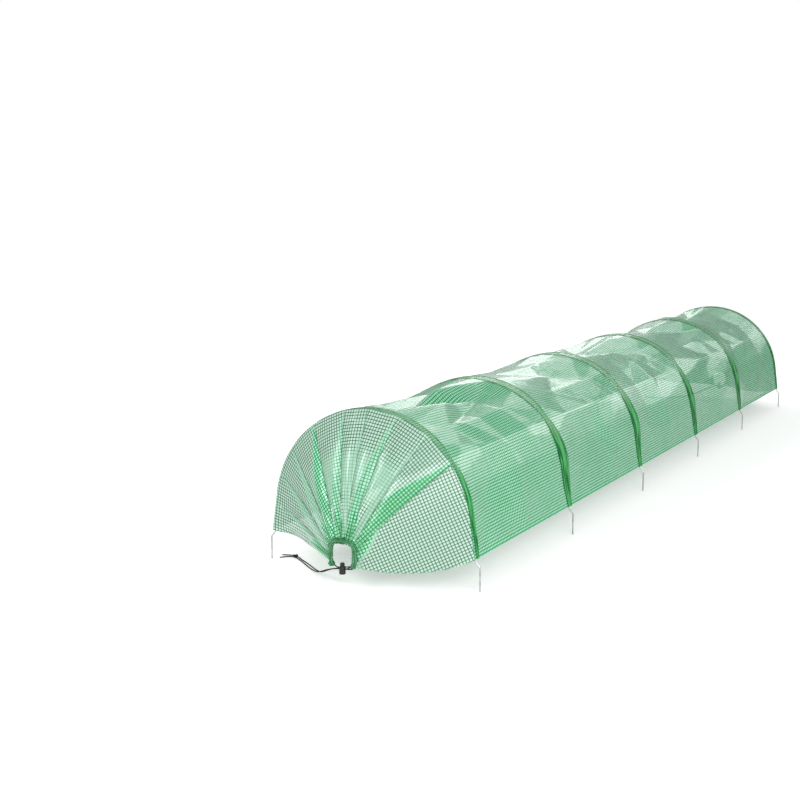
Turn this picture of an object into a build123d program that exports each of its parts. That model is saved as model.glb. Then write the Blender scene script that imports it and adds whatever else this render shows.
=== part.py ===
"""Low polytunnel greenhouse: six bent wire hoops carry one sheet of green grid film.

The film hangs on the hoops in sewn sleeves, and a drawcord with a push-button
cord lock gathers it to a small mouth at each end.
Millimetres. +Y runs along the tunnel, +Z is up, and the origin lies on the ground
under the middle of the tunnel. The front end is at -Y.
"""

import os
from math import cos, pi, radians, sin, tan

from build123d import *

# Tunnel
BAY_COUNT = 5
BAY_LENGTH = 600.0

# Hoop, one length of bent wire
WIRE_DIAMETER = 4.0
ARCH_RADIUS = 275.0
LEG_SPLAY_DEG = 8.0
LEG_LENGTH = 108.0
JOG_OUT = 12.6
JOG_RISE = 14.0
JOG_BEND = 8.0
FOOT_LENGTH = 60.0

# Cover film, drawn thicker than the real sheet
FILM = 1.5
SEAT_GAP = 0.3
COVER_EDGE_RISE = 5.0
COVER_LIP = 10.0

# Folds of the film between two hoops, at two rows of fold points across the tunnel
BAY_SAG = 18.0
FOLD_DEPTH = 10.2
FOLD_LIMIT = 34.0
FOLD_LIMIT_SHARES = (0, 0, 0.4, 0.16, 0.32, 1, 1, 1, 0.32, 0.16, 0.4, 0, 0)
FOLD_ROW_SHARES = (0.31, 0.69)
FOLD_SWING_SHARE = 0.13
FLAT_WALL_SHARE = 0.06
# Radians of wave for each step across, bay and row
SWING_WAVE = (2.3, 1.7, 2.0)
DEPTH_WAVE = (4.1, 2.6, 3.0)

# Sleeve, a strip sewn under the film on both sides of the wire
SLEEVE_FILM = 1.0
SLEEVE_HALF_WIDTH = 22.0
SLEEVE_LAND = 7.0
SLEEVE_FLOOR = 3.2
END_SLEEVE_HALF_WIDTH = 9.0
END_SLEEVE_LAND = 2.0

# Gathered end and its mouth
MOUTH_REACH = 140.0
MOUTH_HEIGHT = 85.0
MOUTH_RADIUS = 35.0
MOUTH_GAP_DEG = 80.0
HEM_RADIUS = 8.0
PLEAT_COUNT = 14
PLEAT_DEPTH = 11.0

# Drawcord and cord lock
CORD_DIAMETER = 3.0
CORD_GAP = 0.6
CORD_DROP = 34.0
CORD_FIRST_RUN = 6.5
KNOT_RADIUS = 4.6
BARREL_DIAMETER = 16.0
BARREL_HEIGHT = 19.0
BARREL_FLOOR = 2.0
BARREL_ROUNDING = 1.5
CORD_BELOW_BARREL_TOP = 6.0
BUTTON_DIAMETER = 11.0
BUTTON_HEAD = 9.0
BUTTON_ROUNDING = 2.0
BUTTON_TRAVEL = 4.0
BUTTON_CLEARANCE = 0.15
BUTTON_END_PLAY = 0.5

# Worked out from the sizes above
HALF_LENGTH = BAY_COUNT * BAY_LENGTH / 2
SPLAY = radians(LEG_SPLAY_DEG)
JOG_TOP_Z = FOOT_LENGTH + JOG_RISE
SHOULDER_X = ARCH_RADIUS * cos(SPLAY)
SHOULDER_Z = JOG_TOP_Z + LEG_LENGTH * cos(SPLAY)
ARCH_CENTRE_Z = SHOULDER_Z - ARCH_RADIUS * sin(SPLAY)
JOG_TOP_X = SHOULDER_X + LEG_LENGTH * sin(SPLAY)
FOOT_X = JOG_TOP_X + JOG_OUT
COVERED_LEG = LEG_LENGTH - COVER_EDGE_RISE
FILM_INSIDE = WIRE_DIAMETER / 2 + SEAT_GAP
FILM_OUTSIDE = FILM_INSIDE + FILM
MOUTH_Y = -HALF_LENGTH - MOUTH_REACH
CORD_Z = MOUTH_HEIGHT - CORD_DROP
SLOT_WIDTH = 2 * CORD_DIAMETER + 3 * CORD_GAP
SLOT_HEIGHT = CORD_DIAMETER + 2 * CORD_GAP
RING_HALF_ARC_DEG = 180 - MOUTH_GAP_DEG / 2
FLAT_BAND = SLEEVE_HALF_WIDTH + SEAT_GAP
FOLD_STEPS = len(FOLD_LIMIT_SHARES) - 1


def arch_point(offset, angle):
    """A point (x, z) on the arch at this offset from the wire's centreline."""
    radius = ARCH_RADIUS + offset
    return radius * cos(angle), ARCH_CENTRE_Z + radius * sin(angle)


def edge_point(offset):
    """The point (x, z) of the right leg where the film ends, at this offset from the wire."""
    x, z = arch_point(offset, SPLAY)
    return x + COVERED_LEG * sin(SPLAY), z - COVERED_LEG * cos(SPLAY)


def at(y, point, side=1):
    """The point (x, z) as a point in space at this y, on the right or, for side -1, the left."""
    return Vector(side * point[0], y, point[1])


# Hoops


def hoop(y):
    """A wire hoop: foot, outward jog and splayed leg on each side, joined by the arch."""
    legs = {}
    for side in (1, -1):
        points = [(FOOT_X, 0), (FOOT_X, FOOT_LENGTH), (JOG_TOP_X, JOG_TOP_Z), (SHOULDER_X, SHOULDER_Z)]
        legs[side] = FilletPolyline(*[at(y, p, side) for p in points], radius=JOG_BEND)
    right, crown = arch_point(0, SPLAY), arch_point(0, pi / 2)
    arch = ThreePointArc(at(y, right), at(y, crown), at(y, right, -1))
    path = Wire(legs[1].edges() + arch.edges() + legs[-1].edges())
    section = Plane(at(y, (FOOT_X, 0)), z_dir=(0, 0, 1)) * Circle(WIRE_DIAMETER / 2)
    return sweep(section, path)


# Cover film between the hoops


def cover_station(share, offset):
    """A point (x, z) on the film over the hoop, from its right edge at share 0 to its left at 1."""
    arc = pi - 2 * SPLAY
    arc_length = ARCH_RADIUS * arc
    along = share * (2 * COVERED_LEG + arc_length) - COVERED_LEG
    if 0 <= along <= arc_length:
        return arch_point(offset, SPLAY + along / ARCH_RADIUS)
    side = 1 if along < 0 else -1
    below = -along if along < 0 else along - arc_length
    x, z = arch_point(offset, SPLAY)
    return side * (x + below * sin(SPLAY)), z - below * cos(SPLAY)


def cover_section(y):
    """The film's cut face across the tunnel where it lies on its hoop."""
    lines = []
    for offset in (FILM_OUTSIDE, FILM_INSIDE):
        edge, shoulder, crown = edge_point(offset), arch_point(offset, SPLAY), arch_point(offset, pi / 2)
        lines.append(Line(at(y, edge), at(y, shoulder)))
        lines.append(ThreePointArc(at(y, shoulder), at(y, crown), at(y, shoulder, -1)))
        lines.append(Line(at(y, shoulder, -1), at(y, edge, -1)))
    for side in (1, -1):
        lines.append(Line(at(y, edge_point(FILM_OUTSIDE), side), at(y, edge_point(FILM_INSIDE), side)))
    return Face(Wire(Wire.combine([line.edge() for line in lines])[0].edges()))


def straight_film(first, last):
    """A stretch of film that lies straight on its hoop, from y first to y last."""
    return loft([cover_section(first), cover_section(last)], ruled=True)


def wave(radians_each, step, bay, row):
    """A height between -1 and 1 that wanders from one fold point to the next."""
    each_step, each_bay, each_row = radians_each
    return sin(each_step * step + each_bay * bay + each_row * row)


def fold_point(bay, row, step):
    """One fold point: its share of the bay's length, and how far it is drawn in from the arch."""
    along = FOLD_ROW_SHARES[row] + FOLD_SWING_SHARE * wave(SWING_WAVE, step, bay, row)
    rise = (step / FOLD_STEPS - FLAT_WALL_SHARE) / (1 - 2 * FLAT_WALL_SHARE)
    height = sin(pi * min(max(rise, 0), 1))
    in_or_out = 1 if (step + row) % 2 == 0 else -1
    fold = FOLD_DEPTH * (in_or_out + wave(DEPTH_WAVE, step, bay, row))
    depth = height * (BAY_SAG * (1 - (2 * along - 1) ** 2) + fold)
    return along, min(max(depth, 0), FOLD_LIMIT * FOLD_LIMIT_SHARES[step])


def fold_triangles(rows):
    """The corners of the triangles between a hoop's row, two rows of fold points and the next hoop's."""
    made = []
    front, first, second, back = rows
    for j in range(FOLD_STEPS):
        for rail, row in ((front, first), (back, second)):
            a, b, c, d, e = rail[2 * j], rail[2 * j + 1], rail[2 * j + 2], row[j], row[j + 1]
            made += [(a, b, d), (b, e, d), (b, c, e)]
        a, b, c, d = first[j], first[j + 1], second[j + 1], second[j]
        made += [(a, b, c), (a, c, d)] if j % 2 == 0 else [(a, b, d), (b, c, d)]
    return made


def folded_film(first, last, bay):
    """The film from y first to y last as flat triangles, straight along both ends and both edges."""
    stations = [(i / (2 * FOLD_STEPS), 0) for i in range(2 * FOLD_STEPS + 1)]
    places = [[(share, first, depth) for share, depth in stations]]
    for row in range(len(FOLD_ROW_SHARES)):
        folds = [fold_point(bay, row, step) for step in range(FOLD_STEPS + 1)]
        places.append([(i / FOLD_STEPS, first + a * (last - first), d) for i, (a, d) in enumerate(folds)])
    places.append([(share, last, depth) for share, depth in stations])
    faces, rims = [], []
    for offset in (FILM_OUTSIDE, FILM_INSIDE):
        rows = [[at(y, cover_station(share, offset - depth)) for share, y, depth in row] for row in places]
        faces += [Face(Wire.make_polygon(corners)) for corners in fold_triangles(rows)]
        rims.append((rows[0], rows[-1], [row[0] for row in rows], [row[-1] for row in rows]))
    for outer, inner in zip(*rims):
        faces.append(Face(Wire.make_polygon(outer + inner[::-1])))
    return Solid(Shell(faces))


def cover_bay(bay, front_hoop, back_hoop, front_lip, back_lip):
    """The film of one bay: straight over its sleeves, sagging in folds between them."""
    first, last = front_hoop + FLAT_BAND, back_hoop - FLAT_BAND
    over_front = straight_film(front_hoop - front_lip, first)
    over_back = straight_film(last, back_hoop + back_lip)
    return over_front + folded_film(first, last, bay) + over_back


# Sleeves


def sleeve(y, front_half, front_land, back_half, back_land):
    """A strip sewn to the film at both edges, passing under the wire between them."""
    under = -FILM_INSIDE
    upper = [
        (-front_half, FILM_INSIDE),
        (front_land - front_half, FILM_INSIDE),
        (-SLEEVE_FLOOR, under),
        (SLEEVE_FLOOR, under),
        (back_half - back_land, FILM_INSIDE),
        (back_half, FILM_INSIDE),
    ]
    lower = [(along, height - SLEEVE_FILM) for along, height in reversed(upper)]
    right = edge_point(0)
    start = Plane(at(y, right), x_dir=(0, 1, 0), z_dir=(-sin(SPLAY), 0, cos(SPLAY)))
    outwards = 1 if start.y_dir.X > 0 else -1
    profile = start * make_face(Polyline(*[(a, outwards * h) for a, h in upper + lower], close=True))
    shoulder, crown = arch_point(0, SPLAY), arch_point(0, pi / 2)
    path = Wire(
        [
            Line(at(y, right), at(y, shoulder)).edge(),
            ThreePointArc(at(y, shoulder), at(y, crown), at(y, shoulder, -1)).edge(),
            Line(at(y, shoulder, -1), at(y, right, -1)).edge(),
        ]
    )
    return sweep(profile, path)


# Gathered end


def ring_point(radius, angle_deg):
    """A point (x, z) on a circle round the mouth. Angle 0 is its top, positive to the right."""
    angle = radians(angle_deg)
    return radius * sin(angle), MOUTH_HEIGHT + radius * cos(angle)


def gather():
    """The pleated hood from the film's end at the front hoop to the hem round the mouth."""
    stations = 4 * PLEAT_COUNT
    start_y, end_y = -HALF_LENGTH - COVER_LIP, MOUTH_Y + HEM_RADIUS + SEAT_GAP
    hoop_side, mouth_side = {}, {}
    for layer, offset in (("outer", FILM_OUTSIDE), ("inner", FILM_INSIDE)):
        hoop_side[layer], mouth_side[layer] = [], []
        for i in range(stations + 1):
            share = i / stations
            hoop_side[layer].append(at(start_y, cover_station(share, offset)))
            fold = sin(2 * pi * PLEAT_COUNT * share) * PLEAT_DEPTH / 2
            radius = MOUTH_RADIUS + fold + (FILM if layer == "outer" else 0)
            angle_deg = RING_HALF_ARC_DEG * (1 - 2 * share)
            mouth_side[layer].append(at(end_y, ring_point(radius, angle_deg)))
    faces = [
        Face(Wire(Polyline(*side["outer"], *reversed(side["inner"]), close=True).edges()))
        for side in (hoop_side, mouth_side)
    ]
    return loft(faces, ruled=True)


def mouth_hem():
    """The hem round the mouth that the drawcord runs in, open at the bottom."""
    right = ring_point(MOUTH_RADIUS, RING_HALF_ARC_DEG)
    path = ThreePointArc(
        at(MOUTH_Y, right), at(MOUTH_Y, ring_point(MOUTH_RADIUS, 0)), at(MOUTH_Y, right, -1)
    )
    section = Plane(path @ 0, z_dir=path % 0) * Circle(HEM_RADIUS)
    return sweep(section, path)


# Cord lock


def lock_axis(z):
    """The plane across the cord lock's upright axis at this height."""
    return Plane((0, MOUTH_Y, z))


def cord_slot(bottom, top):
    """The slot that both strands of cord pass through, from side to side."""
    size = (2 * BARREL_DIAMETER, SLOT_WIDTH, top - bottom)
    return lock_axis((bottom + top) / 2) * Box(*size)


BARREL_TOP = CORD_Z + CORD_BELOW_BARREL_TOP
BARREL_BOTTOM = BARREL_TOP - BARREL_HEIGHT
SLOT_BOTTOM = CORD_Z - SLOT_HEIGHT / 2
SLOT_TOP = CORD_Z + SLOT_HEIGHT / 2


def lock_barrel():
    """The cord lock's housing, a cup for the button with a slot across it for the cord."""
    upright = (Align.CENTER, Align.CENTER, Align.MIN)
    body = lock_axis(BARREL_BOTTOM) * Cylinder(BARREL_DIAMETER / 2, BARREL_HEIGHT, align=upright)
    body = fillet(body.edges().filter_by(GeomType.CIRCLE), BARREL_ROUNDING)
    bore_radius = BUTTON_DIAMETER / 2 + BUTTON_CLEARANCE
    bore = lock_axis(BARREL_BOTTOM + BARREL_FLOOR) * Cylinder(bore_radius, BARREL_HEIGHT, align=upright)
    return body - bore - cord_slot(SLOT_BOTTOM, SLOT_TOP)


def lock_button():
    """The push button, whose slot clears the cord over its whole travel."""
    upright = (Align.CENTER, Align.CENTER, Align.MIN)
    bottom = BARREL_BOTTOM + BARREL_FLOOR + BUTTON_TRAVEL + BUTTON_END_PLAY
    height = BARREL_TOP + BUTTON_HEAD - bottom
    body = lock_axis(bottom) * Cylinder(BUTTON_DIAMETER / 2, height, align=upright)
    body = fillet(body.edges().filter_by(GeomType.CIRCLE).sort_by(Axis.Z)[-1:], BUTTON_ROUNDING)
    return body - cord_slot(SLOT_BOTTOM, SLOT_TOP + BUTTON_TRAVEL)


# Drawcord, two strands from the hem's ends through the cord lock to a shared knot.
# Points are (x, y from the mouth's plane, z), chosen by hand.
RIGHT_STRAND = [
    (10.0, -1.5, 51.3),
    (0.5, -1.8, 51.0),
    (-8.5, -1.8, 50.7),
    (-24.0, -1.0, 48.2),
    (-47.0, 7.5, 40.5),
    (-77.0, 28.0, 26.5),
    (-108.0, 56.5, 12.5),
    (-144.0, 91.0, 3.2),
    (-186.0, 126.0, 1.5),
    (-222.0, 155.0, 1.5),
    (-250.0, 172.0, 3.2),
    (-272.0, 168.0, 1.6),
    (-284.0, 152.0, 1.5),
]
LEFT_STRAND = [
    (-11.5, 4.0, 51.6),
    (-4.0, 13.5, 50.7),
    (6.5, 23.6, 50.6),
    (14.0, 24.3, 50.4),
    (20.4, 20.4, 50.4),
    (23.1, 13.4, 50.5),
    (21.1, 6.3, 50.6),
    (15.1, 1.9, 50.8),
    (3.5, 1.8, 51.0),
    (-8.0, 1.8, 50.7),
    (-24.0, 3.2, 47.6),
    (-46.0, 13.0, 39.0),
    (-74.0, 35.0, 24.5),
    (-105.0, 65.5, 10.5),
    (-142.0, 101.0, 2.5),
    (-184.0, 136.0, 1.5),
    (-220.0, 160.0, 1.6),
    (-247.0, 177.0, 4.6),
    (-270.0, 184.0, 1.8),
    (-292.0, 176.0, 1.5),
]
KNOT = (-250.0, 174.5, KNOT_RADIUS)
ARC_SHARE = 0.45


def strand(side, points):
    """One strand of drawcord as a tube, from the hem's end on this side along its points."""
    ring_end = radians(RING_HALF_ARC_DEG)
    start = at(MOUTH_Y, ring_point(MOUTH_RADIUS, RING_HALF_ARC_DEG), side)
    leaving = Vector(side * cos(ring_end), 0, -sin(ring_end))
    route = [start, start + leaving * CORD_FIRST_RUN]
    route += [Vector(x, MOUTH_Y + y, z) for x, y, z in points]
    radii = []
    for before, corner, after in zip(route, route[1:], route[2:]):
        turn = radians((corner - before).get_angle(after - corner))
        shorter = min((corner - before).length, (after - corner).length)
        radii.append(ARC_SHARE * shorter / tan(turn / 2))
    path = FilletPolyline(*route, radius=radii)
    section = Plane(path @ 0, z_dir=path % 0) * Circle(CORD_DIAMETER / 2)
    return sweep(section, path)


def knot():
    """The overhand knot that ties the two strands together near their ends."""
    x, y, z = KNOT
    return Pos(x, MOUTH_Y + y, z) * Sphere(KNOT_RADIUS)


# Assembly


def nodes():
    """Every piece by its node name."""
    made = {}
    hoop_ys = [i * BAY_LENGTH - HALF_LENGTH for i in range(BAY_COUNT + 1)]
    for i, y in enumerate(hoop_ys, 1):
        made[f"hoop_{i}"] = hoop(y)
        front = (SLEEVE_HALF_WIDTH, SLEEVE_LAND)
        back = (SLEEVE_HALF_WIDTH, SLEEVE_LAND)
        if i == 1:
            front = (END_SLEEVE_HALF_WIDTH, END_SLEEVE_LAND)
        if i == len(hoop_ys):
            back = (END_SLEEVE_HALF_WIDTH, END_SLEEVE_LAND)
        made[f"hoop_sleeve_{i}"] = sleeve(y, *front, *back)
    for i, (front_hoop, back_hoop) in enumerate(zip(hoop_ys, hoop_ys[1:]), 1):
        front_lip = COVER_LIP if i == 1 else 0
        back_lip = COVER_LIP if i == BAY_COUNT else 0
        made[f"cover_bay_{i}"] = cover_bay(i, front_hoop, back_hoop, front_lip, back_lip)
    front_end = {
        "gathered_end": gather(),
        "mouth_hem": mouth_hem(),
        "cord_lock_barrel": lock_barrel(),
        "cord_lock_button": lock_button(),
        "drawcord_right": strand(1, RIGHT_STRAND),
        "drawcord_left": strand(-1, LEFT_STRAND),
        "drawcord_knot": knot(),
    }
    for name, piece in front_end.items():
        made[f"front_{name}"] = piece
        made[f"back_{name}"] = mirror(piece, about=Plane.XZ)
    return made


os.makedirs("parts", exist_ok=True)
for node_name, shape in nodes().items():
    export_step(shape, f"parts/{node_name}.step")
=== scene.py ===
"""Low garden tunnel: six wire hoops under one sheet of green grid film, gathered at both ends."""

import math

import bpy
import numpy as np
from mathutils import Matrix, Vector


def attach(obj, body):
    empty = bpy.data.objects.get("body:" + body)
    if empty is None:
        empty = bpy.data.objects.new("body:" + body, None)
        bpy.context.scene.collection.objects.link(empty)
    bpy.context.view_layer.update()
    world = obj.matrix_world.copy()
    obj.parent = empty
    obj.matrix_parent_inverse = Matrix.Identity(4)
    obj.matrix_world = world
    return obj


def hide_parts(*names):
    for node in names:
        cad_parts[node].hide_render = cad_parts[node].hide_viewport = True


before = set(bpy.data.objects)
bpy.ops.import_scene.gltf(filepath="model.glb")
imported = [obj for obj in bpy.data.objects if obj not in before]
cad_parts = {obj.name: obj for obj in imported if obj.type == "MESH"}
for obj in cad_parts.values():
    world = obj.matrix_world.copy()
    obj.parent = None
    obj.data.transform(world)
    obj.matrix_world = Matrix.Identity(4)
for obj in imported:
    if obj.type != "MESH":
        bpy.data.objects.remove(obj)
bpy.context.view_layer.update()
scene = bpy.context.scene
scene.view_settings.view_transform = "Standard"


# Wire hoops
# Six lengths of 4 mm galvanised steel wire, each bent to an arch with two splayed legs.
# A jog above each foot stops the hoop at the soil, and a sewn sleeve holds the film to the wire.
HOOP_COUNT = 6
BAY_LENGTH = 0.6
HOOP_YS = np.arange(HOOP_COUNT) * BAY_LENGTH - (HOOP_COUNT - 1) * BAY_LENGTH / 2


def colour(red, green, blue):
    """A colour given in screen values 0 to 255, as the linear values that shaders take."""
    c = np.array([red, green, blue]) / 255.0
    linear = np.where(c <= 0.04045, c / 12.92, ((c + 0.055) / 1.055) ** 2.4)
    return (*linear.tolist(), 1.0)


DULL_ZINC = colour(178, 180, 182)
BRIGHT_ZINC = colour(222, 223, 224)


def add_node(tree, kind, values=None, **settings):
    """A shader node of this kind with its settings, and values for its inputs by name or number."""
    node = tree.nodes.new(kind)
    for name, value in settings.items():
        setattr(node, name, value)
    for key, value in (values or {}).items():
        node.inputs[key].default_value = value
    return node


def math_node(tree, operation, first, second=None):
    """A Math node on two sockets or numbers. Gives its output socket."""
    node = add_node(tree, "ShaderNodeMath", operation=operation)
    for index, value in enumerate((first, second)):
        if isinstance(value, bpy.types.NodeSocket):
            tree.links.new(value, node.inputs[index])
        elif value is not None:
            node.inputs[index].default_value = value
    return node.outputs[0]


def mix_colour(tree, factor, first, second):
    """A Mix node on two colours, each a socket or a colour. Gives its output socket.

    The node's colours are its inputs 6 and 7, and the mixed colour is its output 2.
    """
    node = add_node(tree, "ShaderNodeMix", data_type="RGBA")
    for index, value in ((0, factor), (6, first), (7, second)):
        if isinstance(value, bpy.types.NodeSocket):
            tree.links.new(value, node.inputs[index])
        else:
            node.inputs[index].default_value = value
    return node.outputs[2]


def ramp(tree, value, low, high, out_low=0.0, out_high=1.0):
    """A Map Range node that smoothly takes value from low..high to out_low..out_high."""
    node = add_node(tree, "ShaderNodeMapRange", interpolation_type="SMOOTHSTEP")
    for index, entry in enumerate((value, low, high, out_low, out_high)):
        if isinstance(entry, bpy.types.NodeSocket):
            tree.links.new(entry, node.inputs[index])
        else:
            node.inputs[index].default_value = entry
    return node.outputs[0]


def new_material(name, **plain):
    """A material with one Principled shader, and the plain values that are the same all over."""
    material = bpy.data.materials.new(name)
    material.use_nodes = True
    shader = material.node_tree.nodes["Principled BSDF"]
    for key, value in plain.items():
        shader.inputs[key.replace("_", " ").title().replace("Ior", "IOR")].default_value = value
    return material, material.node_tree, shader


def new_group(name, inputs, outputs):
    """A shader node group with named sockets, and its input and output nodes."""
    group = bpy.data.node_groups.new(name, "ShaderNodeTree")
    for direction, sockets in (("INPUT", inputs), ("OUTPUT", outputs)):
        for socket, kind in sockets.items():
            group.interface.new_socket(socket, in_out=direction, socket_type=kind)
    return group, group.nodes.new("NodeGroupInput"), group.nodes.new("NodeGroupOutput")


def mottle_group():
    """Mottling: Mask is the mean of a noise at Scale and one at a twelfth of it, Fine the first alone."""
    floats = "NodeSocketFloat"
    group, entry, result = new_group(
        "mottle", {"Position": "NodeSocketVector", "Scale": floats}, {"Mask": floats, "Fine": floats}
    )
    fine = add_node(group, "ShaderNodeTexNoise", {"Detail": 4.0, "Roughness": 0.6})
    broad = add_node(group, "ShaderNodeTexNoise", {"Detail": 2.0})
    for noise in (fine, broad):
        group.links.new(entry.outputs["Position"], noise.inputs["Vector"])
    group.links.new(entry.outputs["Scale"], fine.inputs["Scale"])
    group.links.new(math_node(group, "DIVIDE", entry.outputs["Scale"], 12.0), broad.inputs["Scale"])
    both = math_node(group, "ADD", fine.outputs["Fac"], broad.outputs["Fac"])
    group.links.new(math_node(group, "MULTIPLY", both, 0.5), result.inputs["Mask"])
    group.links.new(fine.outputs["Fac"], result.inputs["Fine"])
    return group


MOTTLE = mottle_group()


def mottle_in(tree, position, scale):
    """The mottling group placed in a material. Gives its Mask and Fine sockets."""
    node = add_node(tree, "ShaderNodeGroup", node_tree=MOTTLE)
    node.inputs["Scale"].default_value = scale
    tree.links.new(position, node.inputs["Position"])
    return node.outputs["Mask"], node.outputs["Fine"]


def bump_on(tree, shader, height, strength, distance):
    """A Bump node from this height to the shader's normal."""
    bump = add_node(tree, "ShaderNodeBump", {"Strength": strength, "Distance": distance})
    tree.links.new(height, bump.inputs["Height"])
    tree.links.new(bump.outputs["Normal"], shader.inputs["Normal"])


def galvanised_wire():
    """Zinc-coated wire: pale grey with dull spangle patches and a faint grain."""
    material, tree, shader = new_material("galvanised_wire", metallic=1.0)
    position = add_node(tree, "ShaderNodeTexCoord").outputs["Object"]
    mask, fine = mottle_in(tree, position, scale=900.0)
    tint = mix_colour(tree, ramp(tree, mask, 0.35, 0.65), DULL_ZINC, BRIGHT_ZINC)
    tree.links.new(tint, shader.inputs["Base Color"])
    tree.links.new(ramp(tree, mask, 0.3, 0.7, 0.5, 0.32), shader.inputs["Roughness"])
    bump_on(tree, shader, fine, strength=0.25, distance=0.0004)
    return material


WIRE = galvanised_wire()
for number in range(1, HOOP_COUNT + 1):
    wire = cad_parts[f"hoop_{number}"]
    wire.data.materials.clear()
    wire.data.materials.append(WIRE)


# Cover film
# One sheet of polyethylene film about 1.0 m by 3.7 m, with a green grid of threads sealed in it.
# It lies on the hoops, hangs in flat folded facets between them, and is pleated to a mouth at each end.
SPLAY = math.radians(8.0)
JOG_TOP_Z = 0.074
LEG_LENGTH = 0.108
WIRE_ARCH_RADIUS = 0.275
ARCH_CENTRE_Z = JOG_TOP_Z + LEG_LENGTH * math.cos(SPLAY) - WIRE_ARCH_RADIUS * math.sin(SPLAY)
FILM_RADIUS = 0.27805
COVERED_LEG = 0.103
ARCH_LENGTH = (math.pi - 2 * SPLAY) * FILM_RADIUS
FILM_WIDTH = 2 * COVERED_LEG + ARCH_LENGTH
FILM_END_Y = 1.510
HALF_BAND = 0.0223
BAND_ROWS = 10
BAY_ROWS = 64
BAY_COLUMNS = 176


def film_section(s, out):
    """The point (x, z) of the film over a hoop: s metres along it from its right edge, out beyond it.

    A straight splayed leg, then the arch, then the other leg. Out is measured along the normal.
    """
    bend = np.clip((s - COVERED_LEG) / FILM_RADIUS, 0, math.pi - 2 * SPLAY) + SPLAY
    right = np.clip(COVERED_LEG - s, 0, None)
    left = np.clip(s - COVERED_LEG - ARCH_LENGTH, 0, None)
    x = (FILM_RADIUS + out) * np.cos(bend) + (right - left) * math.sin(SPLAY)
    z = ARCH_CENTRE_Z + (FILM_RADIUS + out) * np.sin(bend) - (right + left) * math.cos(SPLAY)
    return x, z


def on_film(s, y, out):
    """The points (x, y, z) of the film at s across and y along, out beyond the hoops' surface."""
    x, z = film_section(s, out)
    return np.stack([x, np.broadcast_to(y, x.shape), z], -1)


def flat_facets(triangles, points_2d, points_3d, wanted_2d):
    """Points of a surface of flat triangles, with corners at points_2d on the flat film and at points_3d.

    Each wanted point takes the weights of its own triangle's three corners.
    """
    a, b, c = (points_2d[triangles[:, i]][:, None] for i in range(3))
    p = wanted_2d[None]
    area = (b - a)[..., 0] * (c - a)[..., 1] - (b - a)[..., 1] * (c - a)[..., 0]
    wb = ((p - a)[..., 0] * (c - a)[..., 1] - (p - a)[..., 1] * (c - a)[..., 0]) / area
    wc = ((b - a)[..., 0] * (p - a)[..., 1] - (b - a)[..., 1] * (p - a)[..., 0]) / area
    weights = np.stack([1 - wb - wc, wb, wc], -1)
    best = weights.min(-1).argmax(0)
    chosen = weights[best, np.arange(len(best))]
    return (points_3d[triangles[best]] * chosen[..., None]).sum(1)


BAY_SAG = 0.018
FOLD_DEPTH = 0.0102
FOLD_LIMITS = 0.034 * np.array([0, 0, 0.4, 0.16, 0.32, 1, 1, 1, 0.32, 0.16, 0.4, 0, 0])
FOLD_STEPS = len(FOLD_LIMITS) - 1
ROW_PLACES = (0.31, 0.69)
ROW_SWING = 0.13
FLAT_WALL = 0.06
SWING_RATES = (2.3, 1.7, 2.0)
DEPTH_RATES = (4.1, 2.6, 3.0)


def fold_wave(rates, step, bay, row):
    """A sine whose angle grows with the step, the bay and the row, each at its own rate."""
    return np.sin(rates[0] * step + rates[1] * bay + rates[2] * row)


def fold_point(bay, row, step):
    """A fold's corner in a bay: its share along the bay, and how far it is drawn in.

    Corners stand on two rows across the bay and swing along it. The sag is deepest at the crown in the
    middle. Every other corner is drawn in further, up to the limit of its place, and the walls stay flat.
    """
    high = np.sin(math.pi * np.clip((step / FOLD_STEPS - FLAT_WALL) / (1 - 2 * FLAT_WALL), 0, 1))
    along = ROW_PLACES[row] + ROW_SWING * fold_wave(SWING_RATES, step, bay, row)
    turn = np.where((step + row) % 2 == 0, 1.0, -1.0)
    fold = FOLD_DEPTH * (turn + fold_wave(DEPTH_RATES, step, bay, row))
    drawn_in = high * (BAY_SAG * (1 - (2 * along - 1) ** 2) + fold)
    return along, np.clip(drawn_in, 0, FOLD_LIMITS)


def facet_triangles():
    """The triangles between a bay's four rows of corners: hoop, two rows of folds, hoop.

    A hoop's row has two steps for each step of a fold's row.
    """
    j = np.arange(FOLD_STEPS)
    wide, narrow = 2 * FOLD_STEPS + 1, FOLD_STEPS + 1
    front, first, second, back = 0, wide, wide + narrow, wide + 2 * narrow
    made = []
    for hoop_row, row in ((front, first), (back, second)):
        h, r = hoop_row + 2 * j, row + j
        made += [(h, h + 1, r), (h + 1, r + 1, r), (h + 1, h + 2, r + 1)]
    lean = j % 2 == 0
    a, b, c, d = first + j, first + j + 1, second + j + 1, second + j
    made += [(a, b, np.where(lean, c, d)), (np.where(lean, a, b), c, d)]
    return np.concatenate([np.stack(t, -1) for t in made])


CRUMPLE_COLUMNS = 10
CRUMPLE_ROWS = 5
CRUMPLE_DEPTH = 0.014
CRUMPLE_PLACES = (0.0, 0.12, 0.22, 0.4, 0.5)
CRUMPLE_SHARES = (0.4, 0.75, 1.0, 0.9, 0.0)
CRUMPLE_SHIFT = 0.34
CRUMPLE_LOWEST = -1.0
CRUMPLE_HIGHEST = 0.45


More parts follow.
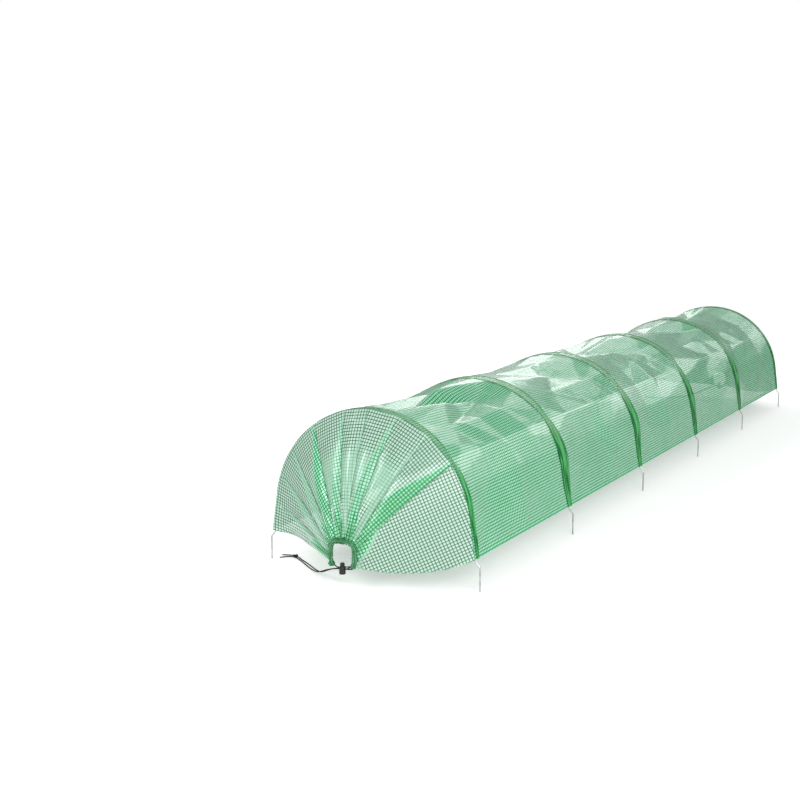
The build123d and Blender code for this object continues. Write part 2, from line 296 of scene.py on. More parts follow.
def crumples(bay, start, length, wanted_2d):
    """How far the film stands out of its folds: smaller flat facets between corners strewn at random.

    The corners lie on a lattice over the bay, each shifted, and raised or lowered, by chance. Those on the
    outline stay, and the shoulders are looser than the crown and the bottom edges.
    """
    chance = np.random.default_rng(bay)
    across, along = np.meshgrid(np.linspace(0, 1, CRUMPLE_COLUMNS), np.linspace(0, 1, CRUMPLE_ROWS))
    inner = (across > 0) & (across < 1) & (along > 0) & (along < 1)
    shift = chance.uniform(-CRUMPLE_SHIFT, CRUMPLE_SHIFT, (2, *across.shape)) * inner
    s = (across + shift[0] / (CRUMPLE_COLUMNS - 1)) * FILM_WIDTH
    y = start + (along + shift[1] / (CRUMPLE_ROWS - 1)) * length
    slack = CRUMPLE_DEPTH * np.interp(np.abs(across - 0.5), CRUMPLE_PLACES, CRUMPLE_SHARES)
    height = chance.uniform(CRUMPLE_LOWEST, CRUMPLE_HIGHEST, across.shape) * slack * inner
    index = np.arange(across.size).reshape(across.shape)
    a, b, c, d = index[:-1, :-1], index[:-1, 1:], index[1:, 1:], index[1:, :-1]
    lean = (a + a // CRUMPLE_COLUMNS) % 2 == 0
    halves = [(a, b, np.where(lean, c, d)), (np.where(lean, a, b), c, d)]
    triangles = np.concatenate([np.stack(half, -1).reshape(-1, 3) for half in halves])
    corners = np.stack([s, y], -1).reshape(-1, 2)
    return flat_facets(triangles, corners, height.reshape(-1, 1), wanted_2d)


def bay_film(front_y, back_y, bay):
    """The film between two hoops: on the arch at both ends, in flat facets with crumples between them."""
    start, length = front_y + HALF_BAND, back_y - front_y - 2 * HALF_BAND
    rail, step = np.linspace(0, FILM_WIDTH, 2 * FOLD_STEPS + 1), np.arange(FOLD_STEPS + 1)
    folds = [fold_point(bay, row, step) for row in (0, 1)]
    s = np.concatenate([rail, *[step / FOLD_STEPS * FILM_WIDTH] * 2, rail])
    y = start + length * np.concatenate([0 * rail, folds[0][0], folds[1][0], 0 * rail + 1])
    drawn_in = np.concatenate([0 * rail, folds[0][1], folds[1][1], 0 * rail])
    flat, lifted = np.stack([s, y], -1), on_film(s, y, -drawn_in)
    across, along = np.linspace(0, FILM_WIDTH, BAY_COLUMNS), np.linspace(0, 1, BAY_ROWS)
    s, y = np.meshgrid(across, start + along * length)
    wanted = np.stack([s.ravel(), y.ravel()], -1)
    points = flat_facets(facet_triangles(), flat, lifted, wanted)
    outwards = (on_film(s, y, 1.0) - on_film(s, y, 0.0)).reshape(-1, 3)
    points += outwards * crumples(bay, start, length, wanted)
    return points.reshape(BAY_ROWS, BAY_COLUMNS, 3), np.stack([s, y], -1)


STITCHES_OFF_HOOP = 0.016
PUCKER_SPREAD = 0.006
PUCKER_HEIGHT = 0.0007
PUCKER_PITCH = 0.021


def hoop_band(first_y, last_y, hoop_y, number):
    """The film over a hoop's sleeve: the plain arch, puckered a little along both lines of stitches.

    A pucker is a sine along the stitches whose pitch swings, fading away from them as a bell curve.
    """
    s, y = np.meshgrid(np.linspace(0, FILM_WIDTH, BAY_COLUMNS), np.linspace(first_y, last_y, BAND_ROWS))
    near_stitches = np.exp(-(((np.abs(y - hoop_y) - STITCHES_OFF_HOOP) / PUCKER_SPREAD) ** 2))
    angle = 2 * math.pi * s / PUCKER_PITCH + 3 * np.sin(s * 9 + number)
    pucker = PUCKER_HEIGHT * near_stitches * np.sin(angle)
    return on_film(s, y, pucker), np.stack([s, y], -1)


def grid_mesh(name, patches):
    """One mesh of several grids of points, each with the flat film's own metres as its UV.

    A patch may also say how its film lies: -1 where one layer is drawn tight, 1 where it is bunched up.
    Near -0.5 it marks the middle of a gathered end, where a painted glare pales the film.
    """
    corners, faces, uvs, folds, first = [], [], [], [], 0
    for points, uv, *folded in patches:
        rows, columns = points.shape[:2]
        index = first + np.arange(rows * columns).reshape(rows, columns)
        faces.append(
            np.stack([index[:-1, :-1], index[1:, :-1], index[1:, 1:], index[:-1, 1:]], -1).reshape(-1, 4)
        )
        corners.append(points.reshape(-1, 3))
        uvs.append(uv.reshape(-1, 2))
        folds.append(folded[0].ravel() if folded else np.zeros(rows * columns))
        first += rows * columns
    corners, faces, uvs = np.concatenate(corners), np.concatenate(faces), np.concatenate(uvs)
    mesh = bpy.data.meshes.new(name)
    mesh.from_pydata(corners, [], faces)
    layer = mesh.uv_layers.new(name="film")
    layer.data.foreach_set("uv", uvs[faces.ravel()].astype(np.float32).ravel())
    attribute = mesh.attributes.new("folded", "FLOAT", "POINT")
    attribute.data.foreach_set("value", np.concatenate(folds).astype(np.float32))
    mesh.polygons.foreach_set("use_smooth", np.ones(len(faces), bool))
    mesh.update()
    return mesh


def link(name, data, body):
    """An object for this mesh or curve, in the scene and riding on this body."""
    piece = bpy.data.objects.new(name, data)
    scene.collection.objects.link(piece)
    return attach(piece, body)


# The pleats of a gathered end, from the right edge to the left: where each crease leaves the hoop,
# as a share of the film's width, where it ends on the mouth, as degrees from the mouth's top, and how
# far the film goes under there. Further down, how each crease bows off the straight line.
CREASE_SHARES = np.array([0.0, 0.236, 0.33, 0.42, 0.5, 0.57, 0.67, 0.765, 0.845, 0.925, 1.0])
CREASE_DEGREES = np.array([140, 66, 46, 28, 10, -8, -30, -55, -82, -112, -140.0])
PLEAT_DEPTHS = np.array([0, 0.05, 0.018, 0.03, 0.018, 0.03, 0.042, 0.026, 0.026, 0.02, 0.0])
PLEAT_AT_HOOP = 0.12
PLEAT_LEAN = 0.16
UNDER_LAYER = 0.0016
BACK_LAYER = 0.0008
BILLOW = 0.006
WRINKLE = 0.0016
MOUTH_CENTRE = np.array([0.0, -1.6345, 0.085])
MOUTH_RADIUS = 0.0365
CREASE_BOWS = np.array(
    [
        (0.03, -0.01, -0.042),
        (0.0, -0.012, 0.006),
        (0.004, -0.018, 0.014),
        (0.004, -0.024, 0.022),
        (0.0, -0.028, 0.026),
        (0.0, -0.024, 0.022),
        (0.002, -0.014, 0.012),
        (0.004, 0.0, 0.0),
        (0.0, 0.02, 0.0),
        (-0.02, 0.044, 0.0),
        (-0.06, 0.064, 0.006),
    ]
)
CREASE_PULLS = np.array([1, 1, 1, 1, 1, 1, 1, 1.1, 1.4, 2.2, 3.6])
PANEL, GOING_UNDER, COMING_BACK = 0, 1, 2
PANEL_COLUMNS = 18
FOLD_COLUMNS = 4
GATHER_ROWS = 52
RIGHT_PANEL_TURN = math.radians(10.0)


def crease_line(index, t):
    """The points of creases by number at t, 0 at the hoop and 1 at the mouth.

    A curve from the hoop's point to the mouth's, drawn towards a middle point off the straight line.
    """
    hoop_end = on_film(CREASE_SHARES * FILM_WIDTH, -FILM_END_Y, 0.0)
    angle = np.radians(CREASE_DEGREES)
    round_mouth = np.stack([np.sin(angle), np.zeros_like(angle), np.cos(angle)], -1)
    mouth_end = MOUTH_CENTRE + MOUTH_RADIUS * round_mouth
    middle = (hoop_end + mouth_end) / 2 + CREASE_BOWS
    pull = (2 * CREASE_PULLS[index] * t * (1 - t))[..., None]
    near, far = ((1 - t) ** 2)[..., None], (t**2)[..., None]
    drawn = near * hoop_end[index] + pull * middle[index] + far * mouth_end[index]
    return drawn / (near + pull + far)


def shown_surface(q, t):
    """The film that shows between the hoop and the mouth: q counts panels from the right, t as above.

    Straight across between two creases, and near the hoop it keeps the arch's round.
    """
    index = np.clip(np.floor(q).astype(int), 0, len(CREASE_SHARES) - 2)
    f = (q - index)[..., None]
    flat = crease_line(index, t) * (1 - f) + crease_line(index + 1, t) * f
    share = CREASE_SHARES[index] * (1 - f[..., 0]) + CREASE_SHARES[index + 1] * f[..., 0]
    ends = [on_film(CREASE_SHARES[i] * FILM_WIDTH, -FILM_END_Y, 0.0) for i in (index, index + 1)]
    arch = on_film(share * FILM_WIDTH, -FILM_END_Y, 0.0) - ends[0] * (1 - f) - ends[1] * f
    return flat + arch * ((1 - t) ** 2)[..., None]


def rise(value, start, width):
    """0 up to start, then a straight rise over this width to 1."""
    return np.clip((value - start) / width, 0, 1)


def gathered_film():
    """The pleated front end: at each crease the film doubles back under its neighbour, then out again.

    A column of the mesh is part of a panel, of the layer going under the next panel, or of the layer
    coming back. Hidden layers lie deeper the further they reach, so that pleats pass under one another.
    Panels billow a little, and fine wrinkles run into the hem.
    """
    panels = len(CREASE_SHARES) - 1
    kinds, numbers, steps = [], [], []
    columns = ((PANEL, PANEL_COLUMNS), (GOING_UNDER, FOLD_COLUMNS), (COMING_BACK, FOLD_COLUMNS))
    for panel in range(panels):
        for kind, count in columns:
            if kind != PANEL and panel == panels - 1:
                continue
            kinds.append(np.full(count, kind))
            numbers.append(np.full(count, panel))
            steps.append(np.linspace(0, 1, count))
    kind, number, step = (np.concatenate(x) for x in (kinds, numbers, steps))
    t = np.linspace(0, 1, GATHER_ROWS)[:, None] + 0 * step[None]
    in_panel, under, returning = kind == PANEL, kind == GOING_UNDER, kind == COMING_BACK
    crease = np.where(in_panel, number, number + 1)[None] + 0 * t.astype(int)
    after = np.clip(crease + 1, 0, panels)
    width = np.linalg.norm(crease_line(after, t) - crease_line(crease, t), axis=-1)
    opened = np.sin(math.pi / 2 * np.clip(t * 1.15, 0, 1))
    depth = PLEAT_DEPTHS[crease] * (PLEAT_AT_HOOP + (1 - PLEAT_AT_HOOP) * opened)
    reach = np.where(under, step, np.where(returning, 1 - step, 0))[None] * depth
    q = np.where(in_panel, number + step, number + 1)[None] + reach / np.maximum(width, 1e-4)
    q = np.clip(q, 0, panels - 1e-6)
    surface = shown_surface(q, t)
    small = 0.002
    right, left = np.clip(q - small, 0, panels), np.clip(q + small, 0, panels)
    above, below = np.clip(t - small, 0, 1), np.clip(t + small, 0, 1)
    across = shown_surface(left, t) - shown_surface(right, t)
    down = shown_surface(q, below) - shown_surface(q, above)
    normal = np.cross(across, down)
    normal /= np.maximum(np.linalg.norm(normal, axis=-1, keepdims=True), 1e-12)
    hidden = np.where(under, UNDER_LAYER, BACK_LAYER)
    level = np.where(in_panel, UNDER_LAYER * step**6, hidden)[None]
    # The layers part from one another just past the hoop, and close up again at the mouth.
    grow = rise(t, 0.0, 0.1) * (1 - 0.85 * rise(t, 0.84, 0.14))
    inwards = (level + PLEAT_LEAN * reach) * grow
    billow = np.where(in_panel, np.sin(math.pi * step), 0)[None] * np.sin(math.pi * t) * BILLOW
    wrinkles = WRINKLE * t**2 * np.sin(2 * math.pi * (q * 2.0 + 0.35 * np.sin(9 * t)))
    # How the film lies: doubled over a pleat or bunched at the mouth, and a painted glare patch in the
    # middle.
    doubled = rise(depth, step[None] * width, 0.004) * np.where(in_panel, 0.8, 1.0)[None]
    deep = (PLEAT_DEPTHS[crease] / PLEAT_DEPTHS.max()) ** 2
    bunched = rise(t, 0.78 + 0.1 * np.sin(3.1 * q + 1), 0.2) ** 1.5
    # A patch about the middle of the gathered end that takes a painted glare: pale grey, with faded
    # threads.
    middle_down = np.clip(1.4 - np.abs(t - 0.52) / 0.2, 0, 1)
    middle_across = np.clip(2.2 - np.abs(q - 4.2) / 1.5, 0, 1)
    layers = middle_down * middle_across
    folded = np.maximum.reduce([(0.3 + 1.7 * deep) * doubled - 1, 2 * bunched - 1, 0.5 * layers - 1])
    return surface + normal * (billow + wrinkles - inwards)[..., None], number, kind, folded


def gather_uv(points, number, kind):
    """The flat film's metres on the pleated end: each panel is unrolled into its own plane from the hoop.

    The wide panel at the right hangs askew, so its grid is turned a little.
    """
    hoop_end = on_film(CREASE_SHARES * FILM_WIDTH, -FILM_END_Y, 0.0)
    mouth_end = crease_line(np.arange(len(CREASE_SHARES)), np.ones(len(CREASE_SHARES)))
    panel = np.clip(np.where(kind == COMING_BACK, number + 1, number), 0, len(CREASE_SHARES) - 2)
    side = hoop_end[1:] - hoop_end[:-1]
    side /= np.linalg.norm(side, axis=1, keepdims=True)
    middle = (hoop_end[1:] + hoop_end[:-1]) / 2
    run = (mouth_end[1:] + mouth_end[:-1]) / 2 - middle
    run -= (run * side).sum(1, keepdims=True) * side
    run /= np.linalg.norm(run, axis=1, keepdims=True)
    middle_s = (CREASE_SHARES[1:] + CREASE_SHARES[:-1]) / 2 * FILM_WIDTH
    offset = points - middle[panel][None]
    up, back = (offset * side[panel][None]).sum(-1), -(offset * run[panel][None]).sum(-1)
    turn = np.where(panel == 0, RIGHT_PANEL_TURN, 0.0)[None]
    u = middle_s[panel][None] + up * np.cos(turn) - back * np.sin(turn)
    v = -FILM_END_Y + back * np.cos(turn) + up * np.sin(turn)
    return np.stack([u, v], -1)


TO_BACK = np.array([1.0, -1.0, 1.0])
patches = []
for number, hoop_y in enumerate(HOOP_YS):
    is_last = number == HOOP_COUNT - 1
    front = -FILM_END_Y if number == 0 else hoop_y - HALF_BAND
    back = FILM_END_Y if is_last else hoop_y + HALF_BAND
    patches.append(hoop_band(front, back, hoop_y, number))
    if not is_last:
        patches.append(bay_film(hoop_y, HOOP_YS[number + 1], number + 1))
pleated, panel_number, layer_kind, pleats = gathered_film()
pleated_uv = gather_uv(pleated, panel_number, layer_kind)
patches.append((pleated[::-1], pleated_uv[::-1], pleats[::-1]))
patches.append((pleated * TO_BACK, pleated_uv, pleats))


def distance_from(tree, value, centre):
    """How far a value is from this centre, as an output socket."""
    return math_node(tree, "ABSOLUTE", math_node(tree, "SUBTRACT", value, centre))


def film_grid_group():
    """The film's grid: at every Pitch both ways a band of thread, Share of the pitch wide, with soft sides.

    Lines is 1 on a thread and 0 in a cell, Height is rounded over each thread.
    """
    floats = "NodeSocketFloat"
    group, entry, result = new_group(
        "film_grid",
        {"UV": "NodeSocketVector", "Pitch Across": floats, "Pitch Along": floats, "Share": floats},
        {"Lines": floats, "Height": floats},
    )
    parts = add_node(group, "ShaderNodeSeparateXYZ")
    group.links.new(entry.outputs["UV"], parts.inputs[0])
    half = math_node(group, "MULTIPLY", entry.outputs["Share"], 0.5)
    bands, rounds = [], []
    for axis, pitch in (("X", "Pitch Across"), ("Y", "Pitch Along")):
        turns = math_node(group, "DIVIDE", parts.outputs[axis], entry.outputs[pitch])
        away = distance_from(group, math_node(group, "FRACT", turns), 0.5)
        inside = math_node(group, "SUBTRACT", half, away)
        bands.append(ramp(group, inside, -0.06, 0.06))
        rounds.append(ramp(group, inside, -0.1, 0.2))
    group.links.new(math_node(group, "MAXIMUM", *bands), result.inputs["Lines"])
    group.links.new(math_node(group, "MAXIMUM", *rounds), result.inputs["Height"])
    return group


FILM_GRID = film_grid_group()


def grid_in(tree, uv, pitches, share):
    """The film's grid placed in a material, its share a number or a socket. Gives its Lines and Height."""
    node = add_node(tree, "ShaderNodeGroup", node_tree=FILM_GRID)
    node.inputs["Pitch Across"].default_value, node.inputs["Pitch Along"].default_value = pitches
    if isinstance(share, bpy.types.NodeSocket):
        tree.links.new(share, node.inputs["Share"])
    else:
        node.inputs["Share"].default_value = share
    tree.links.new(uv, node.inputs["UV"])
    return node.outputs["Lines"], node.outputs["Height"]


GRID_PITCHES = (0.0076, 0.0084)
BOTTOM_HEM = 0.012
CELL_MINT = colour(136, 230, 178)
CELL_PALE_MINT = colour(158, 240, 196)
CELL_TIGHT = colour(182, 212, 194)
THREAD_DEEP = colour(2, 94, 48)
THREAD_WORN = colour(12, 114, 64)
THREAD_TIGHT = colour(10, 84, 52)
# Pale crease lines: partly stress whitening of the film, partly a painted highlight.
CREASE_WHITENING_AND_HIGHLIGHT = colour(226, 250, 238)
# Painted glare over the middle of the gathered ends.
PAINTED_GLARE_GREY = colour(160, 194, 174)
BUNCHED_CELL = colour(130, 192, 148)
BUNCHED_THREAD = colour(38, 124, 74)


def grid_film():
    """Milky mint film with darker green threads: glossy, half see-through, doubled along its bottom edges.

    Its top is loose, creased and shiny, and its walls are duller. Pale lines along the creases of its top
    are partly stress whitening and partly a painted highlight. In the gathered ends it is drawn tight,
    paled by a painted glare in the middle that also fades its threads, and darker where it is bunched up.
    """
    material, tree, shader = new_material(
        "grid_film",
        ior=1.5,
        specular_ior_level=0.25,
        specular_tint=(0.74, 0.98, 0.94, 1.0),
        coat_roughness=0.06,
    )
    uv = add_node(tree, "ShaderNodeUVMap", uv_map="film").outputs["UV"]
    parts = add_node(tree, "ShaderNodeSeparateXYZ")
    tree.links.new(uv, parts.inputs[0])
    from_middle = distance_from(tree, parts.outputs["X"], FILM_WIDTH / 2)
    loose = ramp(tree, from_middle, 0.2, 0.38, 1.0, 0.25)
    lie = add_node(tree, "ShaderNodeAttribute", attribute_name="folded").outputs["Fac"]
    folded = ramp(tree, lie, 0.0, 1.0)
    tight = ramp(tree, lie, -1.0, 0.0, 1.0, 0.0)
    # Painted glare: a pale grey patch over the middle of the gathered ends, where the threads fade.
    painted_glare = math_node(tree, "MULTIPLY", ramp(tree, lie, -0.9, -0.5), ramp(tree, lie, -0.5, -0.1, 0.6, 0.0))
    lines, height = grid_in(tree, uv, GRID_PITCHES, ramp(tree, tight, 0.0, 1.0, 0.29, 0.24))
    # Pale lines along creases on the loose top: partly stress whitening, partly a painted highlight.
    borders = add_node(
        tree, "ShaderNodeTexVoronoi", {"Scale": 11.0}, voronoi_dimensions="2D", feature="DISTANCE_TO_EDGE"
    )
    patchy = add_node(tree, "ShaderNodeTexNoise", {"Scale": 6.6, "Detail": 2.0}, noise_dimensions="2D")
    for texture in (borders, patchy):
        tree.links.new(uv, texture.inputs["Vector"])
    width = ramp(tree, patchy.outputs["Fac"], 0.52, 0.68, 0.0, 0.03)
    on_crease_whitening_and_highlight = math_node(tree, "LESS_THAN", borders.outputs["Distance"], width)
    crease = math_node(tree, "MULTIPLY", on_crease_whitening_and_highlight, math_node(tree, "MULTIPLY", loose, 0.14))
    position = add_node(tree, "ShaderNodeTexCoord").outputs["Object"]
    mask, fine = mottle_in(tree, position, scale=160.0)
    cell = mix_colour(tree, ramp(tree, mask, 0.3, 0.7), CELL_MINT, CELL_PALE_MINT)
    cell = mix_colour(tree, tight, cell, CELL_TIGHT)
    thread = mix_colour(tree, fine, THREAD_DEEP, THREAD_WORN)
    thread = mix_colour(tree, tight, thread, THREAD_TIGHT)
    plain = mix_colour(tree, lines, cell, thread)
    # Painted highlight and stress whitening along the creases of the top.
    plain = mix_colour(tree, crease, plain, CREASE_WHITENING_AND_HIGHLIGHT)
    # The painted glare laid over the middle of the gathered ends.
    plain = mix_colour(tree, painted_glare, plain, PAINTED_GLARE_GREY)
    bunched = mix_colour(tree, lines, BUNCHED_CELL, BUNCHED_THREAD)
    tree.links.new(mix_colour(tree, folded, plain, bunched), shader.inputs["Base Color"])
    hem_starts = FILM_WIDTH / 2 - BOTTOM_HEM
    hem = ramp(tree, from_middle, hem_starts - 0.0005, hem_starts + 0.0005, 0.0, 0.2)
    body = ramp(tree, lines, 0.0, 1.0, 0.82, 0.94)
    thicker = math_node(tree, "ADD", hem, math_node(tree, "MULTIPLY", folded, 0.12))
    tree.links.new(math_node(tree, "ADD", body, thicker), shader.inputs["Alpha"])
    tree.links.new(ramp(tree, mask, 0.3, 0.7, 0.16, 0.24), shader.inputs["Roughness"])
    coat = math_node(tree, "MULTIPLY", ramp(tree, lines, 0.0, 1.0, 0.5, 0.15), loose)
    tree.links.new(coat, shader.inputs["Coat Weight"])
    bump_on(tree, shader, height, strength=0.35, distance=0.0006)
    return material


cover_film = link("cover_film", grid_mesh("cover_film", patches), "tunnel")
cover_film.data.materials.append(grid_film())
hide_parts(*[f"cover_bay_{i}" for i in range(1, 6)], "front_gathered_end", "back_gathered_end")


# Hoop sleeves
# A strip of the same film, folded round each wire and sewn to the cover with two rows of stitches.
# It is flat on the arch, and pulled to a narrow dark ribbon on the legs.
SLEEVE_SIDES = (0.03, 0.03)
FIRST_SLEEVE_SIDES = (0.006, 0.02)
LAST_SLEEVE_SIDES = (0.02, 0.006)
SLEEVE_ROUND = 0.09
SLEEVE_ROWS = 220
SLEEVE_COLUMNS = 65
PINCH_SHARES = np.array([0.0, 0.07, 0.14, 0.21, 0.265, 0.32, 0.42, 0.5])
PINCH_WIDTHS = np.array([0.45, 0.8, 1.0, 0.8, 0.42, 0.7, 0.85, 0.8])
LEG_STARTS = 0.24
LEG_BLEND = 0.1
WIRE_SWELL = 0.0045
TOP_LEVEL = 0.0012
TOP_SWELL = 0.0012
UNDER_LEVEL = -0.0008
UNDER_SWELL = -0.0052
SLEEVE_PUCKER = 0.0012
SLEEVE_PUCKER_PITCH = 0.024
SLEEVE_RIDGE = 0.0026


def sleeve_mesh(number, hoop_y):
    """A flat tube round the wire, carried along the arch: film on top, then under the wire.

    Across it the top lies on the cover and swells over the wire; the underside dips below the wire.
    It is pinched at the shoulders, puckered along the arch and drawn into ridges on the legs.
    """
    s = np.linspace(0, FILM_WIDTH, SLEEVE_ROWS)[:, None]
    front, back = {1: FIRST_SLEEVE_SIDES, HOOP_COUNT: LAST_SLEEVE_SIDES}.get(number, SLEEVE_SIDES)
    turn = np.linspace(0, 2, SLEEVE_COLUMNS)[None]
    top = turn <= 1
    along = np.where(top, turn * 2 - 1, 3 - turn * 2)
    from_crown = s - FILM_WIDTH / 2
    leg = rise(np.abs(from_crown), LEG_STARTS, LEG_BLEND)
    swing = 0.0035 * np.sin(13 * s + 2 * number) + 0.002 * np.sin(37 * s + number)
    share = 0.5 - np.abs(s / FILM_WIDTH - 0.5) + 0.012 * np.sin(2.1 * number + np.sign(from_crown))
    width = np.interp(share, PINCH_SHARES, PINCH_WIDTHS)
    y = np.where(along < 0, along * front, along * back) * width + swing * leg
    swell = np.exp(-((y / WIRE_SWELL) ** 2))
    wave = np.sin(2 * math.pi * s / SLEEVE_PUCKER_PITCH + 2.5 * np.sin(7 * s + number))
    inside = (1 - np.abs(along)) * np.abs(along)
    puckers = SLEEVE_PUCKER * wave * inside * (1 - leg)
    ridge_angle = 2 * math.pi * (1.6 * along + 0.5 * np.sin(11 * s + number))
    ridges = SLEEVE_RIDGE * np.sin(ridge_angle) * np.sqrt(inside) * leg
    lies = np.where(top, TOP_LEVEL + TOP_SWELL * swell, UNDER_LEVEL + UNDER_SWELL * swell)
    points = on_film(s + 0 * y, hoop_y + y, lies + puckers + np.abs(ridges))
    uv = np.stack([s + 0 * y, SLEEVE_ROUND * turn / 2 + 0 * s], -1)
    return grid_mesh(f"sleeve_{number}", [(points[:, ::-1], uv[:, ::-1])])


ARCH_CELL = colour(214, 245, 200)
ARCH_THREAD = colour(84, 182, 108)
LEG_DARK = colour(0, 112, 40)
LEG_PALE = colour(104, 212, 130)
LEG_THREAD = colour(2, 88, 34)
RIM_GREEN = colour(0, 116, 44)
STREAK_SCALES = (9.0, 140.0, 1.0)


def sleeve_film():
    """Doubled film: yellow-green with dark edges on the arch, bunched into streaks on the legs."""
    material, tree, shader = new_material("sleeve_film", ior=1.5, specular_ior_level=0.12)
    uv = add_node(tree, "ShaderNodeUVMap", uv_map="film").outputs["UV"]
    lines, height = grid_in(tree, uv, GRID_PITCHES, 0.36)
    parts = add_node(tree, "ShaderNodeSeparateXYZ")
    tree.links.new(uv, parts.inputs[0])
    from_crown = distance_from(tree, parts.outputs["X"], FILM_WIDTH / 2)
    leg = ramp(tree, from_crown, 0.2, 0.32)
    stretched = add_node(tree, "ShaderNodeVectorMath", {1: STREAK_SCALES}, operation="MULTIPLY")
    tree.links.new(uv, stretched.inputs[0])
    noise = add_node(tree, "ShaderNodeTexNoise", {"Scale": 1.0, "Detail": 3.0})
    tree.links.new(stretched.outputs[0], noise.inputs["Vector"])
    streak = ramp(tree, noise.outputs["Fac"], 0.42, 0.58)
    from_ridge = distance_from(tree, parts.outputs["Y"], SLEEVE_ROUND / 4)
    rim_starts = ramp(tree, from_ridge, 0.0175, 0.0195)
    rim_ends = ramp(tree, from_ridge, 0.0225, 0.024, 1.0, 0.0)
    rim = math_node(tree, "MULTIPLY", rim_starts, rim_ends)
    arch = mix_colour(tree, lines, ARCH_CELL, ARCH_THREAD)
    bunched = mix_colour(tree, streak, LEG_DARK, LEG_PALE)
    bunched = mix_colour(tree, math_node(tree, "MULTIPLY", lines, 0.4), bunched, LEG_THREAD)
    film = mix_colour(tree, rim, mix_colour(tree, leg, arch, bunched), RIM_GREEN)
    tree.links.new(film, shader.inputs["Base Color"])
    body = ramp(tree, lines, 0.0, 1.0, 0.2, 0.45)
    body = math_node(tree, "ADD", body, math_node(tree, "MULTIPLY", rim, 0.6))
    body = math_node(tree, "ADD", body, math_node(tree, "MULTIPLY", leg, 0.5))
    tree.links.new(math_node(tree, "MINIMUM", body, 0.94), shader.inputs["Alpha"])
    mask, _ = mottle_in(tree, add_node(tree, "ShaderNodeTexCoord").outputs["Object"], scale=300.0)
    tree.links.new(ramp(tree, mask, 0.3, 0.7, 0.3, 0.42), shader.inputs["Roughness"])
    bump_on(tree, shader, height, strength=0.35, distance=0.0006)
    return material


SLEEVE = sleeve_film()
for number, hoop_y in enumerate(HOOP_YS, 1):
    sleeve = link(f"sleeve_{number}", sleeve_mesh(number, hoop_y), "tunnel")
    sleeve.data.materials.append(SLEEVE)
    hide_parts(f"hoop_sleeve_{number}")


# Mouth hems
# The film's end is turned over the drawcord and sewn down as a channel.
# The cord ruches it up into a thick ring of many layers, open at the bottom.
MOUTH_Y = -1.640
MOUTH_Z = 0.085
HEM_CENTRE = np.array([0.0, MOUTH_Y, MOUTH_Z])
HEM_RING = 0.035
HEM_THICK = 0.0064
HEM_END = np.radians(141)
HEM_ROWS = 320
HEM_COLUMNS = 33
HEM_SQUARENESS = 3.4
HEM_LUMP = 0.0015
HEM_LUMP_WAVES = (4, 7)
HEM_CREASE_WAVES = 33

# Metres of flat film per radian: round the mouth, which gathers a metre of it, and round the hem's tube.
FILM_ROUND_MOUTH = 1 / 4.9
FILM_ROUND_TUBE = 0.05 / 6.28


def ruched_hem(name, at_back):
    """A tube carried round a squarish mouth and bunched up: it swells, shrinks and creases unevenly.

    Its ring is a square with round corners, and its radius swings with the angle round it.
    """
    angle = np.linspace(HEM_END, -HEM_END, HEM_ROWS)[:, None]
    section = np.linspace(0, 2 * math.pi, HEM_COLUMNS)[None]
    ends = rise(HEM_END - np.abs(angle), 0.0, 0.2) ** 0.5
    corners = np.abs(np.sin(angle)) ** HEM_SQUARENESS + np.abs(np.cos(angle)) ** HEM_SQUARENESS
    square = corners ** (-1 / HEM_SQUARENESS)
    lump = np.sin(HEM_LUMP_WAVES[0] * angle + 0.7) * np.sin(HEM_LUMP_WAVES[1] * angle + 1.9)
    ripple = 2.2 * np.sin(5 * angle) + 1.4 * np.sin(section + 2 * angle)
    crease = np.sin(HEM_CREASE_WAVES * angle + ripple)
    thick = HEM_THICK * (0.35 + 0.65 * ends) * (0.95 + 0.3 * lump * ends + 0.17 * crease)
    radius = HEM_RING * (1 + (square - 1.04) * ends) + HEM_LUMP * lump * ends + thick * np.cos(section)
    points = HEM_CENTRE + np.stack(
        [radius * np.sin(angle), thick * np.sin(section), radius * np.cos(angle)], -1
    )
    uv = np.stack([angle * FILM_ROUND_MOUTH + 0 * section, section * FILM_ROUND_TUBE + 0 * angle], -1)
    if at_back:
        points, uv = points[::-1] * TO_BACK, uv[::-1]
    return grid_mesh(name, [(points, uv)])


HEM_DEEP = colour(20, 122, 60)
HEM_PALE = colour(126, 206, 154)
HEM_THREAD = colour(14, 88, 44)
HEM_PITCHES = (0.0075, 0.0075)


def hem_film():
    """Many layers of film bunched together: deep green with paler patches, and the grid's threads."""
    material, tree, shader = new_material("hem_film", ior=1.5, specular_ior_level=0.6, alpha=0.97)
    uv = add_node(tree, "ShaderNodeUVMap", uv_map="film").outputs["UV"]
    lines, height = grid_in(tree, uv, HEM_PITCHES, 0.45)
    mask, _ = mottle_in(tree, add_node(tree, "ShaderNodeTexCoord").outputs["Object"], scale=420.0)
    cell = mix_colour(tree, ramp(tree, mask, 0.4, 0.6), HEM_DEEP, HEM_PALE)
    tree.links.new(mix_colour(tree, lines, cell, HEM_THREAD), shader.inputs["Base Color"])
    tree.links.new(ramp(tree, mask, 0.3, 0.7, 0.32, 0.46), shader.inputs["Roughness"])
    bump_on(tree, shader, height, strength=0.4, distance=0.0006)
    return material


HEM = hem_film()
ENDS = (("front", 1.0), ("back", -1.0))
for end, side in ENDS:
    hem = link(f"{end}_hem", ruched_hem(f"{end}_hem", side < 0), "tunnel")
    hem.data.materials.append(HEM)
    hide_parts(f"{end}_mouth_hem")


# Cord locks
# A barrel and a sprung push button, both moulded in black plastic.
# The two strands of the drawcord pass through a slot in it, and hold it in place.
PLASTIC_BLACK = colour(17, 18, 19)
PLASTIC_WORN = colour(32, 33, 34)


